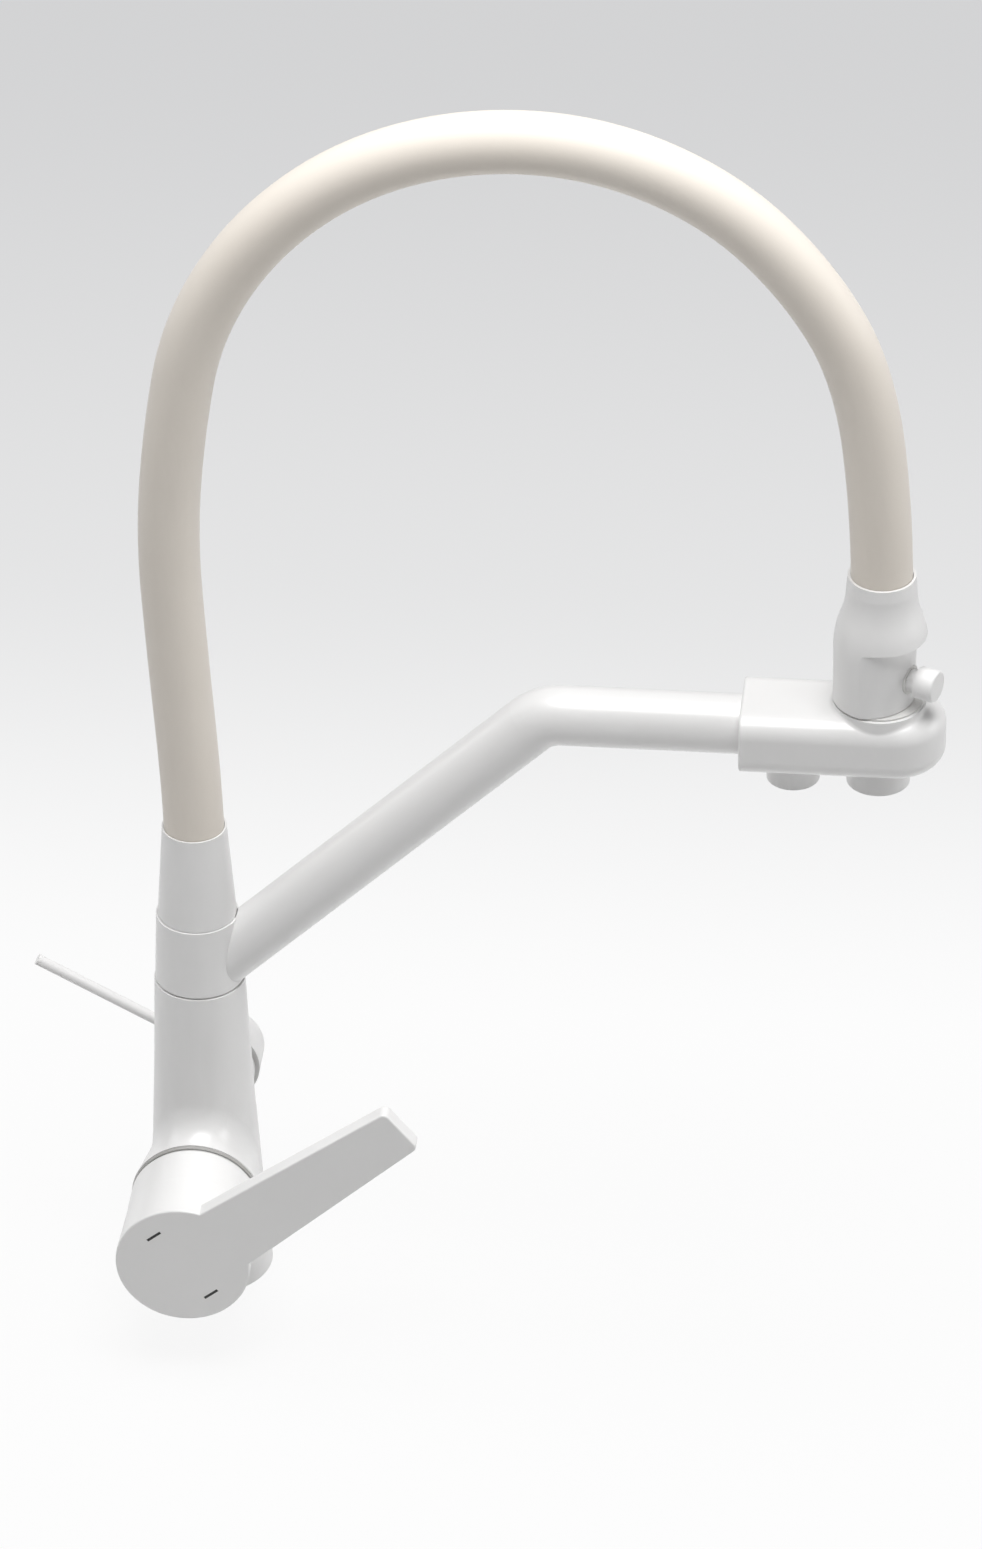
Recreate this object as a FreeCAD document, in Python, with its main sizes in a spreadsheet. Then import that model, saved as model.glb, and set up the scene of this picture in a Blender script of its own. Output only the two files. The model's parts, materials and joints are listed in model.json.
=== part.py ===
"""Kitchen mixer tap with a filter-water outlet, an arched silicone hose and a docked spray head.

Millimetres. The origin is the centre of the tap's foot on the worktop, +Z is up, the spout arm
points along +X, the mixing lever's boss faces -Y and the filter knob faces +Y.
"""
import FreeCAD, Part
import math
import os

import Sketcher

Vector = FreeCAD.Vector
doc = FreeCAD.newDocument("KitchenTap")

DRIVING_SIZES = {
    # column
    "foot_radius": 24.0,
    "column_top_radius": 17.1,
    "column_height": 132.6,
    "column_taper_radius": 3000.0,
    "column_bore_radius": 12.98,
    "column_bore_depth": 34.0,
    "water_way_radius": 3.0,
    # front boss and cup for the lever
    "boss_height": 48.8,
    "boss_root_radius": 20.0,
    "boss_rim_radius": 24.9,
    "boss_reach": 28.2,
    "boss_ring_width": 1.5,
    "boss_ring_inset": 0.4,
    "boss_blend": 13.0,
    "valve_boss_blend": 5.0,
    "cup_lip": 1.38,
    "lever_pivot_reach": 42.0,
    "ball_clearance": 0.45,
    # lever
    "hub_neck_radius": 24.7,
    "disc_radius": 25.3,
    "disc_reach": 70.0,
    "plate_thickness": 6.0,
    "hub_wall": 2.7,
    "ball_wall": 2.15,
    "ball_mouth_angle": 43.0,
    "blade_angle": 39.0,
    "blade_length": 107.5,
    "blade_root_width": 29.0,
    "blade_tip_width": 19.6,
    "blade_corner_radius": 2.6,
    "lever_edge_radius": 0.7,
    "grub_radius": 2.5,
    "tick_length": 6.5,
    "tick_width": 1.1,
    "tick_depth": 0.6,
    "tick_offset": 16.5,
    # mixing cartridge
    "cartridge_radius": 12.5,
    "cartridge_neck_radius": 9.4,
    "cartridge_depth": 4.0,
    "cartridge_seat": 6.0,
    "cartridge_top": 36.0,
    "cartridge_flange_radius": 14.8,
    "carrier_radius": 7.6,
    "stem_radius": 4.0,
    "stem_pin_radius": 1.2,
    "nut_radius": 15.8,
    "running_gap": 0.06,
    "fit_gap": 0.15,
    "press_gap": 0.05,
    "seal_thickness": 1.4,
    "fixed_disc_thickness": 3.6,
    "moving_disc_thickness": 3.15,
    # filter valve at the back
    "valve_height": 68.5,
    "valve_boss_radius": 15.5,
    "valve_boss_reach": 29.0,
    "valve_pocket_radius": 9.0,
    "valve_pocket_floor": 12.0,
    "spindle_radius": 4.1,
    "knob_radius": 17.0,
    "knob_length": 16.0,
    "knob_wall": 3.0,
    "knob_gap": 1.8,
    "rod_radius": 2.15,
    "rod_length": 79.0,
    "rod_angle": 29.6,
    # swivel
    "swivel_seam": 0.9,
    "swivel_foot_radius": 16.7,
    "swivel_top_radius": 15.5,
    "swivel_height": 28.3,
    "spigot_length": 31.0,
    "gallery_radius": 9.5,
    "washer_radius": 16.0,
    # arm
    "arm_radius": 11.15,
    "arm_bore_radius": 9.4,
    "arm_slope": 43.6,
    "arm_bend_radius": 16.0,
    "arm_bend_x": 130.5,
    "arm_rise": 123.7,
    "filter_tube_radius": 3.0,
    "filter_tube_bore": 2.0,
    # outlet block
    "block_tail": 50.1,
    "block_nose": 24.4,
    "block_half_width": 18.5,
    "block_thickness": 24.0,
    "block_edge_radius": 7.5,
    "block_end_radius": 1.0,
    "head_reach": 253.1,
    "dock_radius": 17.0,
    "dock_rise": 14.0,
    "dock_blend": 1.8,
    "bush_bore_radius": 12.1,
    "bush_radius": 14.4,
    "bush_flange_radius": 15.7,
    "magnet_radius": 16.0,
    "outlet_spacing": 31.1,
    "filter_outlet_radius": 9.76,
    "filter_outlet_drop": 9.7,
    # hose
    "ferrule_foot_radius": 14.8,
    "ferrule_rim_radius": 12.06,
    "ferrule_height": 38.9,
    "hose_radius": 11.2,
    "hose_wall": 3.0,
    "water_hose_radius": 5.5,
    "water_hose_bore": 4.0,
    "hose_insert": 8.7,
    "hose_lean": 5.1,
    "hose_straight": 20.0,
    "hose_lean_length": 88.0,
    "hose_rise": 304.1,
    "hose_crown_inset": 5.9,
    "hose_rear_radius": 352.6,
    "hose_front_radius": 191.0,
    # spray head
    "head_gap": 1.0,
    "cowl_height": 52.2,
    "rim_radius": 12.34,
    "sleeve_radius": 12.85,
    "sleeve_length": 4.9,
    "skirt_radius": 17.2,
    "skirt_height": 22.3,
    "skirt_shoulder": 13.0,
    "shoulder_inset": 2.2,
    "shoulder_radius": 39.5,
    "neck_curve_radius": 34.6,
    "lip_rise": 27.5,
    "scoop_half_angle": 90.0,
    "scoop_waist": 12.4,
    "scoop_cove": 1.2,
    "spray_core_radius": 9.4,
    "spray_bore": 6.9,
    "nozzle_radius": 11.65,
    "nozzle_drop": 9.2,
    "button_azimuth": 23.0,
    "button_rise": 10.7,
    "button_radius": 6.0,
    "button_face": 23.1,
    "button_back": 15.7,
    "button_travel": 2.0,
    "button_neck_radius": 4.3,
    "button_bush_radius": 5.5,
    "button_stem_radius": 2.4,
    # below the worktop
    "shank_radius": 16.0,
    "shank_thread_radius": 15.6,
    "shank_length": 58.0,
    "shank_tip_radius": 15.2,
    "shank_tip_length": 13.5,
    "worktop_gap": 30.0,
    "clamp_radius": 24.0,
    "inlet_radius": 4.5,
    "inlet_depth": 12.0,
    "inlet_ring_radius": 8.6,
    "base_seal_radius": 21.0,
    "rubber_thickness": 2.5,
    "steel_thickness": 2.0,
    "clamp_nut_radius": 21.5,
    "clamp_nut_height": 10.0,
}


class Size:
    """A number together with the sheet expression that it comes from."""

    def __init__(self, text, value):
        self.text = text
        self.value = value

    def _with(self, other, sign, result, flipped=False):
        text = other.text if isinstance(other, Size) else repr(other)
        pair = (text, self.text) if flipped else (self.text, text)
        return Size("(%s %s %s)" % (pair[0], sign, pair[1]), result)

    def __add__(self, other):
        return self._with(other, "+", self.value + number(other))

    def __radd__(self, other):
        return self._with(other, "+", number(other) + self.value, True)

    def __sub__(self, other):
        return self._with(other, "-", self.value - number(other))

    def __rsub__(self, other):
        return self._with(other, "-", number(other) - self.value, True)

    def __mul__(self, other):
        return self._with(other, "*", self.value * number(other))

    def __rmul__(self, other):
        return self._with(other, "*", number(other) * self.value, True)

    def __truediv__(self, other):
        return self._with(other, "/", self.value / number(other))

    def __neg__(self):
        return Size("(0 - %s)" % self.text, -self.value)


def number(size):
    return size.value if isinstance(size, Size) else float(size)


def root(size):
    return Size("sqrt(%s)" % size.text, math.sqrt(size.value))


def sine(angle):
    return Size("sin(%s)" % angle.text, math.sin(math.radians(angle.value)))


def cosine(angle):
    return Size("cos(%s)" % angle.text, math.cos(math.radians(angle.value)))


class Sheet:
    """The spreadsheet of driving sizes; each one is read as an attribute."""

    def __init__(self, sizes):
        page = doc.addObject("Spreadsheet::Sheet", "Sizes")
        for row, (name, value) in enumerate(sizes.items(), start=1):
            page.set("A%d" % row, name.replace("_", " "))
            page.set("B%d" % row, str(value))
            page.setAlias("B%d" % row, name)
        doc.recompute()
        for name in sizes:
            setattr(self, name, Size("Sizes." + name, float(getattr(page, name))))


size = Sheet(DRIVING_SIZES)
NODES = []


def bind(thing, name, value):
    """Give a property a value, tied to the sheet where it comes from there."""
    if isinstance(value, Size):
        thing.setExpression(name, value.text)
    else:
        setattr(thing, name, value)


def place(thing, where=(0, 0, 0), rotation=None):
    """Turn a thing and put it at a point whose coordinates may come from the sheet."""
    turn = rotation or FreeCAD.Rotation()
    thing.Placement = FreeCAD.Placement(Vector(*[number(value) for value in where]), turn)
    for axis, value in zip("xyz", where):
        if isinstance(value, Size):
            thing.setExpression("Placement.Base." + axis, value.text)
    return thing


def keep(thing, label):
    """Mark an object as a sub-part of the tap, under the name of its node."""
    thing.Label = label
    NODES.append(thing)
    return thing


def origin_plane(body, role):
    return next(item for item in body.Origin.OriginFeatures if item.Role == role)


def new_sketch(body, label, role):
    sketch = body.newObject("Sketcher::SketchObject", label + "_sketch")
    sketch.AttachmentSupport = (origin_plane(body, role), "")
    sketch.MapMode = "FlatFace"
    return sketch


def fix_point(sketch, edge, end, point):
    """Tie a sketch point to its two coordinates."""
    for kind, value, axis in (("DistanceX", point[0], -2), ("DistanceY", point[1], -1)):
        if not isinstance(value, Size) and value == 0:
            sketch.addConstraint(Sketcher.Constraint("PointOnObject", edge, end, axis))
            continue
        index = sketch.addConstraint(
            Sketcher.Constraint(kind, -1, 1, edge, end, number(value)))
        if isinstance(value, Size):
            sketch.setExpression("Constraints[%d]" % index, value.text)


def arc_through(first, last, bend):
    """The arc of a signed radius between two points: positive bends to the left of the way."""
    chord = last - first
    middle = (first + last) * 0.5
    left = Vector(-chord.y, chord.x, 0).normalize()
    radius = abs(bend)
    rise = math.sqrt(max(radius * radius - chord.Length ** 2 / 4, 0.0))
    side = 1 if bend > 0 else -1
    centre = middle + left * (rise * side)
    crest = centre - left * (radius * side)
    return Part.Arc(first, crest, last)


def draw_outline(sketch, outline):
    """Close an outline of (across, up) points; a third value bends the line that leads there."""
    count = len(outline)
    spots = [Vector(number(item[0]), number(item[1]), 0) for item in outline]
    bends = [item[2] if len(item) > 2 else None for item in outline]
    reversed_arcs = set()
    for index in range(count):
        after = (index + 1) % count
        if bends[after] is None:
            sketch.addGeometry(Part.LineSegment(spots[index], spots[after]), False)
            continue
        sketch.addGeometry(arc_through(spots[index], spots[after], number(bends[after])), False)
        if (sketch.getPoint(index, 1) - spots[index]).Length > 1e-4:
            reversed_arcs.add(index)
    for index in range(count):
        after = (index + 1) % count
        end = 1 if index in reversed_arcs else 2
        start = 2 if after in reversed_arcs else 1
        sketch.addConstraint(Sketcher.Constraint("Coincident", index, end, after, start))
    for index in range(count):
        start = 2 if index in reversed_arcs else 1
        fix_point(sketch, index, start, outline[index])
    for index in range(count):
        bend = bends[(index + 1) % count]
        if bend is None:
            continue
        row = sketch.addConstraint(Sketcher.Constraint("Radius", index, abs(number(bend))))
        if isinstance(bend, Size):
            text = bend.text if bend.value > 0 else "(0 - %s)" % bend.text
            sketch.setExpression("Constraints[%d]" % row, text)


def turned(label, outline, where=(0, 0, 0), rotation=None):
    """A turned piece: an outline of (radius, height) points swept round its own Z axis."""
    body = doc.addObject("PartDesign::Body", label)
    sketch = new_sketch(body, label, "XZ_Plane")
    draw_outline(sketch, outline)
    turn = body.newObject("PartDesign::Revolution", label + "_turn")
    turn.Profile = sketch
    turn.ReferenceAxis = (sketch, ["V_Axis"])
    turn.Angle = 360.0
    sketch.Visibility = False
    return place(body, where, rotation)


def tube(label, outer, inner, start, end, where=(0, 0, 0), rotation=None):
    """A plain ring or tube between two heights on its own axis."""
    outline = [(inner, start), (outer, start), (outer, end), (inner, end)]
    return turned(label, outline, where, rotation)


def rod(label, radius, start, end, where=(0, 0, 0), rotation=None):
    """A plain round bar between two heights on its own axis."""
    outline = [(0, start), (radius, start), (radius, end), (0, end)]
    return turned(label, outline, where, rotation)


def block(label, length, width, height, where=(0, 0, 0), rotation=None):
    box = doc.addObject("Part::Box", label)
    bind(box, "Length", length)
    bind(box, "Width", width)
    bind(box, "Height", height)
    return place(box, where, rotation)


def ball(label, radius, where):
    sphere = doc.addObject("Part::Sphere", label)
    bind(sphere, "Radius", radius)
    return place(sphere, where)


def joined(label, *pieces):
    union = doc.addObject("Part::MultiFuse", label)
    union.Shapes = list(pieces)
    union.Refine = True
    return union


def cut(label, base, *tools):
    """Take tools out of a piece."""
    tool = tools[0]
    if len(tools) > 1:
        tool = doc.addObject("Part::MultiFuse", label + "_tools")
        tool.Shapes = list(tools)
        tool.Refine = False
    result = doc.addObject("Part::Cut", label)
    result.Base = base
    result.Tool = tool
    return result


def filleted(label, base, groups):
    """The base with groups of its edges rounded, each group its edge numbers and a radius."""
    result = doc.addObject("Part::Fillet", label)
    result.Base = base
    result.Edges = [
        (edge, radius.value, radius.value) for edges, radius in groups for edge in edges]
    return result


TO_FRONT = FreeCAD.Rotation(Vector(1, 0, 0), 90)
TO_BACK = FreeCAD.Rotation(Vector(1, 0, 0), -90)
TO_RIGHT = FreeCAD.Rotation(Vector(0, 1, 0), 90)
FRONT_AXIS = (0, 0, size.boss_height)
BACK_AXIS = (0, 0, size.valve_height)
HEAD_AXIS = (size.head_reach, 0, 0)


# The lever's ball turns in the boss's cup about one point on the boss's axis.
CUP_LIP_RADIUS = size.boss_rim_radius - size.cup_lip
CUP_DROP = size.lever_pivot_reach - size.boss_reach
CUP_RADIUS = root(CUP_LIP_RADIUS * CUP_LIP_RADIUS + CUP_DROP * CUP_DROP)
BALL_RADIUS = CUP_RADIUS - size.ball_clearance
BALL_INSIDE = BALL_RADIUS - size.ball_wall

# The mixed water leaves the cartridge above its axis.
MIXED_PORT_RISE = 5.5

# Heights that neighbouring pieces share.
SWIVEL_FOOT = size.column_height + size.swivel_seam
SWIVEL_TOP = SWIVEL_FOOT + size.swivel_height
ARM_HEIGHT = SWIVEL_FOOT + size.arm_rise
BLOCK_FLOOR = ARM_HEIGHT - size.block_thickness / 2
DOCK_TOP = ARM_HEIGHT + size.dock_rise
HEAD_REST = DOCK_TOP + size.head_gap
FLANGE_TOP = HEAD_REST - 0.3
FLANGE_FOOT = DOCK_TOP - 1.2
RIM_HEIGHT = HEAD_REST + size.cowl_height
HOSE_END = RIM_HEIGHT - 10.0
SKIRT_TOP = HEAD_REST + size.skirt_height
LIP_HEIGHT = HEAD_REST + size.lip_rise
BUTTON_HEIGHT = HEAD_REST + size.button_rise
NOZZLE_BOTTOM = BLOCK_FLOOR - size.nozzle_drop
MAGNET_FOOT = ARM_HEIGHT + 5.0
FERRULE_TOP = SWIVEL_TOP + size.ferrule_height
HOSE_START = FERRULE_TOP - size.hose_insert

# Places along the arm.
BLOCK_START = size.head_reach - size.block_tail
BLOCK_END = size.head_reach + size.block_nose
OUTLET_REACH = size.head_reach - size.outlet_spacing
OUTLET_SPIGOT = size.filter_outlet_radius - 1.4

# Inside the spray head.
KEEPER_DEPTH = 1.2
NUT_FOOT = HEAD_REST + 24.4
NUT_TOP = NUT_FOOT + 5.0
BUTTON_SEAT = size.scoop_waist - 4.0
STEM_TIP = size.spray_bore - 0.5

# Swivel seals: thickness and how far each sits below the swivel's foot.
ORING_WIRE = 0.9
ORING_DROPS = (24.0, 12.0)

# Across the disc the blade runs along X, the other way of the plate along Y, outwards along Z.
PLATE_TURN = FreeCAD.Rotation(Vector(0, -1, 0), size.blade_angle.value) * TO_FRONT
STEM_END = size.disc_reach - size.plate_thickness - 3.0
DOWNWARD = FreeCAD.Rotation(Vector(1, 0, 0), 180)
ROD_TURN = FreeCAD.Rotation(Vector(0, 1, 0), size.rod_angle.value - 90)
BUTTON_PLACE = (size.head_reach, 0, BUTTON_HEIGHT)
BUTTON_TURN = FreeCAD.Rotation(Vector(0, 0, 1), -size.button_azimuth.value) * TO_RIGHT


def boss_seams(shape, in_front):
    """The edges where a boss meets the column: neither straight nor round, before or behind it."""
    seams = []
    for index, edge in enumerate(shape.Edges, start=1):
        plain = edge.Curve.TypeId in ("Part::GeomLine", "Part::GeomCircle")
        if not plain and (edge.BoundBox.Center.y < 0) == in_front:
            seams.append(index)
    return seams


def inlet_spots():
    """Where the hot, cold and filtered inlets come up, round the tap's own axis."""
    spots = []
    for angle in (210, 330, 90):
        turn = math.radians(angle)
        spots.append((size.inlet_ring_radius * math.cos(turn),
                      size.inlet_ring_radius * math.sin(turn)))
    return spots


def water_ways():
    """Drillings between the inlets, the two valve pockets and the swivel's bore."""
    hot, cold, filtered = inlet_spots()
    way = size.water_way_radius
    run = way - 0.4
    thin = way - 0.6
    thin_run = thin - 0.4
    turn_height = size.boss_height - size.cartridge_radius - way - 3.0
    port_back = size.cartridge_depth + 4.5
    chamber_floor = size.column_height - size.column_bore_depth
    ways = []
    for spot in (hot, cold):
        across = spot[0]
        ways.append(rod("inlet_rise", way, 0, turn_height + way, (across, spot[1], 0)))
        ways.append(rod("inlet_run", run, spot[1], port_back,
                        (across, 0, turn_height), TO_BACK))
        ways.append(rod("port_rise", way, turn_height - way, size.boss_height + way,
                        (across, port_back, 0)))
        ways.append(rod("port", run, 0, port_back, (across, 0, size.boss_height), TO_BACK))
    back = size.valve_pocket_floor + 4.0
    step = size.valve_pocket_radius + thin
    ways.append(rod("filter_rise", thin, 0, step + thin, (0, filtered[1], 0)))
    ways.append(rod("filter_run", thin_run, filtered[1], back, (0, 0, step), TO_BACK))
    ways.append(rod("filter_climb", thin, step - thin, size.valve_height, (0, back, 0)))
    mixed_height = size.boss_height + MIXED_PORT_RISE
    ways.append(rod("mixed_port", thin_run, 0, port_back - 1.5, (0, 0, mixed_height), TO_BACK))
    ways.append(rod("mixed_way", thin, mixed_height - thin, chamber_floor + 1.0,
                    (0, port_back - 1.5, 0)))
    side = size.valve_pocket_radius - thin
    front = size.valve_pocket_floor - 3.0
    ways.append(rod("filtered_port", thin_run, front, size.valve_pocket_floor + 1.0,
                    (side, 0, size.valve_height), TO_BACK))
    ways.append(rod("filtered_way", thin, size.valve_height - thin, chamber_floor + 1.0,
                    (side, front, 0)))
    return ways


def tap_body():
    """Tapered column with the front boss, the rear boss, their pockets and the water ways."""
    column = turned("column", [
        (0, 0), (size.foot_radius, 0),
        (size.column_top_radius, size.column_height, -size.column_taper_radius),
        (0, size.column_height)])
    front = turned("front_boss", [
        (0, 0), (size.boss_root_radius, 0), (size.boss_rim_radius, size.boss_reach),
        (0, size.boss_reach)], FRONT_AXIS, TO_FRONT)
    rear = rod("rear_boss", size.valve_boss_radius, 0, size.valve_boss_reach,
               BACK_AXIS, TO_BACK)
    casting = joined("casting", column, front, rear)
    doc.recompute()
    blend = filleted("casting_blend", casting, (
        (boss_seams(casting.Shape, True), size.boss_blend),
        (boss_seams(casting.Shape, False), size.valve_boss_blend)))

    cup = ball("lever_cup", CUP_RADIUS, (0, -size.lever_pivot_reach, size.boss_height))
    cartridge_bore = rod("cartridge_bore", size.cartridge_radius + size.fit_gap,
                         -size.cartridge_depth, size.boss_reach, FRONT_AXIS, TO_FRONT)
    nut_bore = rod("nut_bore", size.nut_radius + size.fit_gap, size.cartridge_seat, size.boss_reach,
                   FRONT_AXIS, TO_FRONT)
    valve_bore = rod("valve_bore", size.valve_pocket_radius, size.valve_pocket_floor,
                     size.valve_boss_reach, BACK_AXIS, TO_BACK)
    spigot_bore = rod("spigot_bore", size.column_bore_radius,
                      size.column_height - size.column_bore_depth, size.column_height)
    tools = [cup, cartridge_bore, nut_bore, valve_bore, spigot_bore]
    tools.append(tube("seal_groove", size.base_seal_radius + size.press_gap,
                      size.base_seal_radius - 2.25, 0, 1.5))
    tools += water_ways()
    return keep(cut("tap_body", blend, *tools), "tap_body")


def boss_ring():
    """Plain ring on the boss's rim, just clear of the lever's ball."""
    foot = size.boss_reach
    front = foot + size.boss_ring_width
    outside = size.boss_rim_radius - size.boss_ring_inset

    def inside(reach):
        drop = size.lever_pivot_reach - reach
        return root(BALL_RADIUS * BALL_RADIUS - drop * drop) + size.fit_gap

    keep(turned("ring_on_boss", [
        (inside(foot), foot), (outside, foot), (outside, front), (inside(front), front)],
        FRONT_AXIS, TO_FRONT), "boss_ring")


def mixing_cartridge():
    """Ceramic-disc cartridge: housing, seal, discs, turning carrier, lever stem and its pin."""
    gap = size.press_gap
    skin = size.cartridge_radius
    bore = skin - 2.1
    floor_ = -size.cartridge_depth + 0.2
    seal_top = floor_ + size.seal_thickness
    fixed_top = seal_top + size.fixed_disc_thickness
    moving_foot = fixed_top + gap
    moving_top = moving_foot + size.moving_disc_thickness
    seat = size.cartridge_seat
    neck_foot = seat + 11.0
    neck_bore = size.carrier_radius + size.fit_gap
    housing = turned("cartridge_shell", [
        (bore, seal_top), (skin, seal_top), (skin, seat + gap),
        (size.cartridge_flange_radius, seat + gap), (size.cartridge_flange_radius, seat + 2.6),
        (skin, seat + 2.6), (skin, neck_foot), (size.cartridge_neck_radius, neck_foot),
        (size.cartridge_neck_radius, size.cartridge_top + 5.0),
        (neck_bore, size.cartridge_top + 5.0), (neck_bore, neck_foot - 2.0),
        (bore, neck_foot - 2.0)], FRONT_AXIS, TO_FRONT)
    keep(housing, "cartridge_housing")

    seal = rod("seal_plate", skin - 0.4, floor_, seal_top - gap, FRONT_AXIS, TO_FRONT)
    fixed = rod("fixed_plate", bore - 0.1, seal_top, fixed_top, FRONT_AXIS, TO_FRONT)
    ports = []
    port = size.water_way_radius - 0.6
    for across, up in ((inlet_spots()[0][0], 0), (inlet_spots()[1][0], 0), (0, MIXED_PORT_RISE)):
        ports.append(rod("disc_port", port, floor_ - 1.0, floor_ + 6.0,
                         (across, 0, size.boss_height + up), TO_FRONT))
    keep(cut("cartridge_seal", seal, *ports), "cartridge_seal")
    keep(cut("fixed_ceramic_disc", fixed, *ports), "fixed_ceramic_disc")
    keep(rod("moving_ceramic_disc", bore - 0.8, moving_foot, moving_top,
             FRONT_AXIS, TO_FRONT), "moving_ceramic_disc")

    slot_floor = size.lever_pivot_reach - 7.0
    mouth = size.lever_pivot_reach + 2.0
    carrier = turned("carrier_turning", [
        (0, moving_top + gap), (bore - 0.2, moving_top + gap), (bore - 0.2, neck_foot - 2.4),
        (size.carrier_radius, neck_foot - 2.4), (size.carrier_radius, mouth),
        (size.stem_radius + 1.3, mouth), (size.stem_radius + 2.2, slot_floor), (0, slot_floor)],
        FRONT_AXIS, TO_FRONT)
    keep(cut("cartridge_carrier", carrier, stem_pin(size.stem_pin_radius)), "cartridge_carrier")
    keep(stem_pin(size.stem_pin_radius), "stem_pin")
    stem = rod("stem_bar", size.stem_radius, slot_floor + 1.2, STEM_END, FRONT_AXIS, TO_FRONT)
    keep(cut("lever_stem", stem, stem_pin(size.stem_pin_radius + size.running_gap)), "lever_stem")

    nut = tube("nut_ring", size.nut_radius, skin + size.fit_gap, seat + 2.7, neck_foot - 0.8,
               FRONT_AXIS, TO_FRONT)
    notches = []
    for step in range(4):
        turn = TO_FRONT * FreeCAD.Rotation(Vector(0, 0, 1), 45 + 90 * step)
        reach = turn.multVec(Vector(number(size.nut_radius) - 1.6, -1.5, number(neck_foot) - 3.0))
        notches.append(block("nut_notch", 4.0, 3.0, 4.0,
                             (reach.x, reach.y, size.boss_height + reach.z), turn))
    keep(cut("cartridge_nut", nut, *notches), "cartridge_nut")


def stem_pin(radius):
    """The cross pin on which the lever tilts, square to the blade."""
    turn = FreeCAD.Rotation(Vector(0, 1, 0), 180 - size.blade_angle.value)
    half = size.carrier_radius - 0.2
    return rod("cross_pin", radius, -half, half,
               (0, -size.lever_pivot_reach, size.boss_height), turn)


def mixer_lever():
    """Ball-ended hub, disc and blade in one casting, with its grub screw and two inlays."""
    gap = size.press_gap
    mouth = size.ball_mouth_angle
    pivot = size.lever_pivot_reach
    neck = size.hub_neck_radius
    hub_bore = neck - size.hub_wall
    shoulder = pivot - root(BALL_RADIUS * BALL_RADIUS - neck * neck)
    inner_shoulder = pivot - root(BALL_INSIDE * BALL_INSIDE - hub_bore * hub_bore)
    plate_back = size.disc_reach - size.plate_thickness
    socket_foot = pivot + 8.0
    socket_radius = size.stem_radius + 4.5
    stem_hole = size.stem_radius + gap
    hub = turned("hub", [
        (BALL_INSIDE * sine(mouth), pivot - BALL_INSIDE * cosine(mouth), -BALL_INSIDE),
        (BALL_RADIUS * sine(mouth), pivot - BALL_RADIUS * cosine(mouth)),
        (neck, shoulder, BALL_RADIUS), (neck, pivot + 6.0),
        (size.disc_radius, size.disc_reach - 1.5),
        (size.disc_radius, size.disc_reach - size.lever_edge_radius),
        (size.disc_radius - size.lever_edge_radius, size.disc_reach, size.lever_edge_radius),
        (0, size.disc_reach), (0, STEM_END + 0.3), (stem_hole, STEM_END + 0.3),
        (stem_hole, socket_foot), (socket_radius, socket_foot), (socket_radius, plate_back),
        (hub_bore, plate_back), (hub_bore, inner_shoulder)], FRONT_AXIS, TO_FRONT)
    casting = joined("lever_casting", hub, blade())
    grub_place = (0, -(STEM_END - 4.0), size.boss_height)
    tools = [rod("lever_grub_bore", size.grub_radius, 0, size.disc_radius + 2.0,
                 grub_place, DOWNWARD)]
    tools += [tick(side, size.tick_depth) for side in (-1, 1)]
    keep(cut("mixer_lever", casting, *tools), "mixer_lever")
    keep(joined("inlays", *[tick(side, size.tick_depth - gap) for side in (-1, 1)]),
         "lever_inlays")
    screw = size.grub_radius - gap
    keep(rod("lever_grub", screw, size.stem_radius + gap, socket_radius + 1.0,
             grub_place, DOWNWARD), "lever_grub_screw")
    keep(rod("lever_plug_disc", screw, hub_bore + 0.6, neck - 0.1, grub_place, DOWNWARD),
         "lever_plug")


def blade():
    """The flat tapering blade, in one plane with the disc."""
    body = doc.addObject("PartDesign::Body", "blade")
    sketch = new_sketch(body, "blade", "XY_Plane")
    root_half = size.blade_root_width / 2
    tip_half = size.blade_tip_width / 2
    inner_end = size.disc_radius * 0.7
    draw_outline(sketch, [
        (inner_end, -root_half), (size.blade_length, -tip_half),
        (size.blade_length, tip_half), (inner_end, root_half)])
    pad = body.newObject("PartDesign::Pad", "blade_pad")
    pad.Profile = sketch
    bind(pad, "Length", size.plate_thickness)
    doc.recompute()
    corners = [
        "Edge%d" % index for index, edge in enumerate(pad.Shape.Edges, start=1)
        if edge.BoundBox.XMin > size.blade_length.value - 0.01 and edge.BoundBox.ZLength > 1]
    rounds = body.newObject("PartDesign::Fillet", "blade_rounds")
    rounds.Base = (pad, corners)
    bind(rounds, "Radius", size.blade_corner_radius)
    doc.recompute()
    face_edges = [
        "Edge%d" % index for index, edge in enumerate(rounds.Shape.Edges, start=1)
        if edge.BoundBox.ZMin > size.plate_thickness.value - 0.01
        and edge.BoundBox.XMax > inner_end.value + 0.01]
    softened = body.newObject("PartDesign::Fillet", "blade_edges")
    softened.Base = (rounds, face_edges)
    bind(softened, "Radius", size.lever_edge_radius)
    back = size.disc_reach - size.plate_thickness
    return place(body, (0, -back, size.boss_height), PLATE_TURN)


def tick(side, depth):
    """One of the two narrow inlays, parallel to the blade on either side of the disc's centre."""
    half_length = size.tick_length / 2
    half_width = size.tick_width / 2
    angle = size.blade_angle
    across = side * size.tick_offset
    corner_u = -half_length
    corner_v = across - half_width
    where = (
        corner_u * cosine(angle) - corner_v * sine(angle),
        -size.disc_reach + size.tick_depth,
        size.boss_height + corner_u * sine(angle) + corner_v * cosine(angle))
    return block("tick", size.tick_length, size.tick_width, depth, where, PLATE_TURN)


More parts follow.
